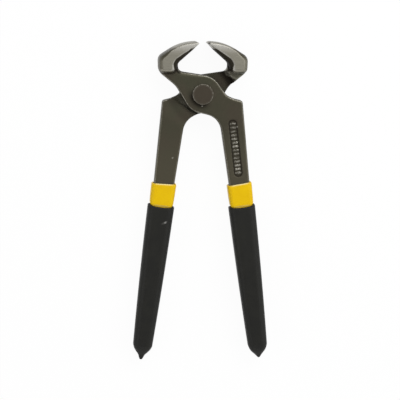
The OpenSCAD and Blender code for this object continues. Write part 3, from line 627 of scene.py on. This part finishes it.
sleeve = {
    "collarTop": 56.0, "collarFoot": 69.8, "tailEnd": 78.8, "fit": 0.1, "tailOut": 0.7, "collarOut": 1.3,
    "rimRoll": 0.7, "footRoll": 1.9, "collarCorner": 1.4, "rimSlant": {"left": 3.6, "right": -2.8},
    "gripTop": 69.9, "gripHalf": 8.25, "gripThick": 6.5, "endHalf": 6.1, "endThick": 5.6, "swell": 0.28,
    "gripEnd": 157, "lip": 0.8, "rimBow": 0.75, "bowFade": 5, "squareness": 0.72, "boreEnd": 156.6,
    "mouthOut": 1.3, "mouthIn": 0.4, "footSide": 0.5, "footFace": 0.95, "collarCrown": 0.06, "tailGap": 4,
    "boreRings": (2, 0.25), "rimWall": 0.2, "tailStart": 1, "nibEase": 1.3, "tipHalf": 0.02, "tipRound": 0.28,
    # The painted highlights on the rims: strength, and where each starts and is full
    "rimHighlight": 0.8, "footHighlight": 0.25, "highlightTop": (0.75, 0.3), "highlightFoot": (-0.6, -0.2), "highlightAcross": (0.5, -3),
    "arcPoints": 9, "flatPoints": 7, "rollPoints": 8, "collarPoints": 7, "lipPoints": 7,
    "gripRings": 60, "nibRings": 40, "cornerLimit": 0.999,
}
# Half width at a distance from the nib's tip, both in mm
nibs = {
    "left": {"tip": 168.9, "half": [(0, 0), (0.15, 0.55), (0.5, 0.85), (1.4, 1.25), (2.4, 1.6), (3.3, 2.0),
                                    (5.2, 3.45), (7.4, 4.85), (9.5, 5.6)]},
    "right": {"tip": 167.9, "half": [(0, 0), (0.15, 0.5), (0.75, 1.05), (1.7, 1.75), (3.2, 3.0), (5.1, 4.55),
                                     (7, 5.45), (8.9, 5.95)]},
}


def section(half, thick, corner):  # rounded rectangle, counterclockwise from the middle of its right side
    arc, flat = sleeve["arcPoints"], sleeve["flatPoints"]
    corner = min(corner, half * sleeve["cornerLimit"], thick * sleeve["cornerLimit"])
    u, z = [], []
    for quarter in range(4):
        cu = (half - corner) * (1 if quarter in (0, 3) else -1)
        cz = (thick - corner) * (1 if quarter < 2 else -1)
        turn = math.pi / 2 * (quarter + np.linspace(0, 1, arc))
        u += list(cu + corner * np.cos(turn))
        z += list(cz + corner * np.sin(turn))
        nextU = (half - corner) * (1 if quarter in (2, 3) else -1)
        nextZ = (thick - corner) * (1 if quarter in (3, 0) else -1)
        end = math.pi / 2 * (quarter + 1)
        share = np.linspace(0, 1, flat + 2)[1:-1]
        first = np.array([u[-1], z[-1]])
        second = np.array([nextU + corner * math.cos(end), nextZ + corner * math.sin(end)])
        u += list(first[0] + (second[0] - first[0]) * share)
        z += list(first[1] + (second[1] - first[1]) * share)
    return np.array(u), np.array(z)


def onHandle(s, u, z, rear):  # metres in the frame
    a = math.radians(lever["lean"])
    local = np.stack([lever["axisX"] + s * math.sin(a) + u * math.cos(a),
                      -s * math.cos(a) + u * math.sin(a),
                      z + lever["axisZ"]], -1)
    return pivot + (local * turnOver if rear else local) * mm


def steelHalf(s):
    return lever["halfWidth"] - lever["taper"] * s


def loft(name, rings, joined):
    n = len(rings[0])
    points = [tuple(p) for ring in rings for p in ring]
    count = len(rings)
    faces = []
    for k in range(count if joined else count - 1):
        low, high = k * n, (k + 1) % count * n
        for i in range(n):
            j = (i + 1) % n
            faces.append((low + i, high + i, high + j, low + j))
    if not joined:
        faces += [tuple(range(n)), tuple(range((count - 1) * n, count * n))[::-1]]
    mesh = bpy.data.meshes.new(name)
    mesh.from_pydata(points, [], faces)
    skin = bmesh.new()
    skin.from_mesh(mesh)
    bmesh.ops.recalc_face_normals(skin, faces=skin.faces)
    skin.to_mesh(mesh)
    skin.free()
    return mesh


def makeCollar(side, body, rear):
    v = sleeve
    profile = [(v["tailEnd"], v["fit"], v["fit"])]
    profile += [(v["collarTop"] + below, v["fit"], v["fit"]) for below in v["boreRings"]]
    for t in np.radians(np.linspace(90, 0, v["rollPoints"])):
        out = v["collarOut"] - (v["collarOut"] - v["fit"] - v["rimWall"]) * (1 - math.cos(t))
        profile.append((v["collarTop"] + v["rimRoll"] * (1 - math.sin(t)), out, out))
    first, last = v["collarTop"] + v["rimRoll"], v["collarFoot"] - v["footRoll"]
    for t in np.linspace(0.1, 0.9, v["collarPoints"]):
        out = v["collarOut"] + v["collarCrown"] * math.sin(math.pi * t)
        profile.append((first + (last - first) * t, out, out))
    for t in np.radians(np.linspace(0, 90, v["rollPoints"])):
        fall = 1 - math.cos(t)
        profile.append((v["collarFoot"] - v["footRoll"] * (1 - math.sin(t)),
                        v["collarOut"] - (v["collarOut"] - v["footSide"]) * fall,
                        v["collarOut"] - (v["collarOut"] - v["footFace"]) * fall))
    profile += [(s, v["tailOut"], v["tailOut"]) for s in (v["collarFoot"] + v["tailStart"], v["tailEnd"])]
    rings, highlit = [], []
    slant = math.tan(math.radians(v["rimSlant"][side]))
    for s, outSide, outFace in profile:
        u, z = section(steelHalf(s) + outSide, lever["halfThick"] + outFace, v["collarCorner"] + outSide)
        share = np.clip((v["collarFoot"] - s) / (v["collarFoot"] - v["collarTop"]), 0, 1)
        rings.append(onHandle(s + slant * share * u, u, z, rear))
        top = smoothStep(*(v["collarTop"] + d for d in v["highlightTop"]), s)
        low = smoothStep(*(v["collarFoot"] + d for d in v["highlightFoot"]), s) * (s <= v["collarFoot"])
        across = smoothStep(*(steelHalf(s) + d for d in v["highlightAcross"]), np.abs(u))
        highlit.append((v["rimHighlight"] * top + v["footHighlight"] * low) * across)
    mesh = loft(side + "_collar", rings, True)
    setMark(mesh, "rim", np.concatenate(highlit))
    addPiece(side + "_collar_sleeve", mesh, body, side + "_collar", yellowVinyl)


def monotone(table, value):  # smooth curve through the table's points without overshoot
    xs, ys = (np.array(c, float) for c in zip(*table))
    slope = np.diff(ys) / np.diff(xs)
    tangent = np.concatenate([[slope[0]], np.where(slope[:-1] * slope[1:] > 0,
                              2 * slope[:-1] * slope[1:] / (slope[:-1] + slope[1:] + 1e-12), 0), [slope[-1]]])
    k = np.clip(np.searchsorted(xs, value) - 1, 0, len(xs) - 2)
    h = xs[k + 1] - xs[k]
    t = (value - xs[k]) / h
    return ((2 * t ** 3 - 3 * t ** 2 + 1) * ys[k] + (t ** 3 - 2 * t ** 2 + t) * h * tangent[k]
            + (-2 * t ** 3 + 3 * t ** 2) * ys[k + 1] + (t ** 3 - t ** 2) * h * tangent[k + 1])


def makeGrip(side, body, rear):
    v, nib = sleeve, nibs[side]
    rings = []

    def addRing(s, half, thick, corner, bow=0.0):
        u, z = section(half, thick, corner)
        rings.append(onHandle(s + bow * (1 - (u / half) ** 2), u, z, rear))

    for s, out in ((v["boreEnd"], v["fit"]), (v["tailEnd"] + v["fit"], v["fit"]),
                   (v["tailEnd"] + v["fit"], v["tailOut"] + v["fit"]),
                   (v["gripTop"] + v["tailGap"], v["tailOut"] + v["fit"])):
        addRing(s, steelHalf(s) + out, lever["halfThick"] + out, v["collarCorner"] + out)
    s = v["gripTop"] + v["mouthIn"]
    addRing(s, steelHalf(s) + v["mouthOut"], lever["halfThick"] + v["mouthOut"], v["collarCorner"] + v["mouthOut"],
            v["rimBow"])
    for t in np.radians(np.linspace(90, 0, v["lipPoints"])):
        s = v["gripTop"] + v["lip"] * (1 - math.sin(t))
        inward = v["lip"] * (1 - math.cos(t))
        addRing(s, v["gripHalf"] - inward, v["gripThick"] - inward, v["squareness"] * (v["gripThick"] - inward),
                v["rimBow"])
    tableEnd = nib["tip"] - nib["half"][-1][0]
    for t in np.linspace(0, 1, v["gripRings"])[1:]:
        s = v["gripTop"] + v["lip"] + (tableEnd - v["gripTop"] - v["lip"]) * t
        share = (s - v["gripTop"] - v["lip"]) / (v["gripEnd"] - v["gripTop"] - v["lip"])
        swell = v["swell"] * 4 * share * (1 - share)
        half = v["gripHalf"] + (v["endHalf"] - v["gripHalf"]) * share + swell
        thick = v["gripThick"] + (v["endThick"] - v["gripThick"]) * share + swell
        bow = v["rimBow"] * math.exp(-(s - v["gripTop"]) / v["bowFade"])
        addRing(s, half, thick, v["squareness"] * thick, bow)
    endHalf, endThick = half, thick
    tableHalf = nib["half"][-1][1]
    for t in np.linspace(0, 1, v["nibRings"])[1:]:
        away = nib["half"][-1][0] * (1 - t) ** v["nibEase"]
        wide = monotone(nib["half"], away) / tableHalf
        half = max(endHalf * wide, v["tipHalf"])
        thick = max(endThick * wide, v["tipHalf"])
        least = min(half, thick)
        addRing(nib["tip"] - away, half, thick, v["squareness"] * least + v["tipRound"] * least * t)
    mesh = loft(side + "_grip", rings, False)
    addPiece(side + "_grip_sleeve", mesh, body, side + "_grip", blackVinyl)


for side, body, rear in (("right", "front_half", False), ("left", "rear_half", True)):
    makeCollar(side, body, rear)
    makeGrip(side, body, rear)
print("sleeves lofted")


# Stage: white floor and surround, soft boxes round the tool and the camera of the photograph. The floor's
# width is in metres and its drop in mm, and the sky darkens to the ceiling between two heights from 0 to 1.

stage = {"floor": 6, "drop": 0.05, "paper": 0.92, "ambient": 0.46, "white": 0.95, "ceiling": 0.7,
         "sky": (0.3, 0.95)}


def makeStage():
    half = stage["floor"] / 2
    mesh = bpy.data.meshes.new("floor")
    low = -stage["drop"] * mm  # just under the tool
    mesh.from_pydata([(-half, -half, low), (half, -half, low), (half, half, low), (-half, half, low)], [],
                     [(0, 1, 2, 3)])
    floor = bpy.data.objects.new("floor", mesh)
    scene.collection.objects.link(floor)
    material, tree = newMaterial("white_paper")
    path = addNode(tree, "ShaderNodeLightPath")
    seen = addNode(tree, "ShaderNodeMath", {0: path.outputs["Is Camera Ray"], 1: path.outputs["Is Glossy Ray"]},
                   operation="MAXIMUM")
    seenAll = addNode(tree, "ShaderNodeMath", {0: seen.outputs[0], 1: path.outputs["Is Transmission Ray"]},
                      operation="MAXIMUM")
    share = addNode(tree, "ShaderNodeMath", {0: seenAll.outputs[0], 1: stage["white"]}, operation="MULTIPLY")
    paper = addNode(tree, "ShaderNodeBsdfDiffuse", {"Color": (*[stage["paper"]] * 3, 1)})
    glow = addNode(tree, "ShaderNodeEmission", {"Color": (1, 1, 1, 1), "Strength": 1.0})
    both = addNode(tree, "ShaderNodeMixShader", {0: share.outputs[0], 1: paper.outputs[0], 2: glow.outputs[0]})
    addNode(tree, "ShaderNodeOutputMaterial", {"Surface": both.outputs[0]})
    mesh.materials.append(material)

    # The surround is white to the camera and round the horizon, and a little darker overhead
    world = bpy.data.worlds.new("white_surround")
    scene.world = world
    world.use_nodes = True
    tree = world.node_tree
    tree.nodes.clear()
    path = addNode(tree, "ShaderNodeLightPath").outputs
    toward = addNode(tree, "ShaderNodeSeparateXYZ", {0: addNode(tree, "ShaderNodeTexCoord").outputs["Generated"]})
    mirrored = addNode(tree, "ShaderNodeMath", {0: path["Is Glossy Ray"], 1: path["Is Transmission Ray"]},
                       operation="MAXIMUM")
    sky = addNode(tree, "ShaderNodeMapRange", ends(toward.outputs["Z"], *stage["sky"], 1, stage["ceiling"]))
    level = addNode(tree, "ShaderNodeMix", {"Factor": mirrored.outputs[0], numberA: stage["ambient"],
                                            numberB: sky.outputs[0]})
    seen = addNode(tree, "ShaderNodeMix", {"Factor": path["Is Camera Ray"], numberA: level.outputs[0], numberB: 1.0})
    back = addNode(tree, "ShaderNodeBackground", {"Color": (1, 1, 1, 1), "Strength": seen.outputs[0]})
    addNode(tree, "ShaderNodeOutputWorld", {"Surface": back.outputs[0]})


# Soft boxes: bearing and height in degrees as seen from the tool, size and distance in metres
softBoxes = {
    "key": {"bearing": -24, "height": 48, "width": 0.9, "depth": 0.5, "away": 0.9, "watts": 4.6},
    "left": {"bearing": 100, "height": 38, "width": 0.7, "depth": 0.4, "away": 0.9, "watts": 1.2},
    "right": {"bearing": -95, "height": 38, "width": 0.7, "depth": 0.4, "away": 0.9, "watts": 1.4},
    "foot": {"bearing": 180, "height": 32, "width": 0.6, "depth": 0.3, "away": 1.0, "watts": 0.8},
}


def makeLamps():
    for name, box in softBoxes.items():
        lamp = bpy.data.lights.new(name, "AREA")
        lamp.shape = "RECTANGLE"
        lamp.size = box["width"]
        lamp.size_y = box["depth"]
        lamp.energy = box["watts"]
        holder = bpy.data.objects.new(name, lamp)
        scene.collection.objects.link(holder)
        b, h = math.radians(box["bearing"]), math.radians(box["height"])
        toward = Vector((-math.sin(b) * math.cos(h), math.cos(b) * math.cos(h), math.sin(h)))
        holder.location = toward * box["away"]
        holder.rotation_mode = "QUATERNION"
        holder.rotation_quaternion = toward.to_track_quat("Z", "Y")


# Camera: tilted toward the jaws and a little to the left, in degrees and mm
view = {"tilt": 8.108, "side": 4.508, "roll": 0.501, "away": 1000, "field": 249.0, "right": -0.813, "up": 1.543,
        "sensor": 36, "farthest": 20000}


def makeCamera():
    t, b, r = (math.radians(view[k]) for k in ("tilt", "side", "roll"))
    back = Vector((-math.sin(b) * math.cos(t), math.sin(t), math.cos(b) * math.cos(t)))
    up = (Vector((0, 1, 0)) - back * back.y).normalized()
    right = up.cross(back)
    right, up = right * math.cos(r) + up * math.sin(r), up * math.cos(r) - right * math.sin(r)
    camera = bpy.data.cameras.new("camera")
    camera.sensor_width = view["sensor"]
    camera.lens = camera.sensor_width * view["away"] / view["field"]
    camera.clip_end = view["farthest"] * mm
    holder = bpy.data.objects.new("camera", camera)
    scene.collection.objects.link(holder)
    place = Vector((0, 0, pivot[2])) + (back * view["away"] + right * view["right"] + up * view["up"]) * mm
    holder.matrix_world = Matrix((
        (right.x, up.x, back.x, place.x), (right.y, up.y, back.y, place.y),
        (right.z, up.z, back.z, place.z), (0, 0, 0, 1)))
    scene.camera = holder


makeStage()
makeLamps()
makeCamera()
scene.view_settings.view_transform = "Standard"
print("stage set")
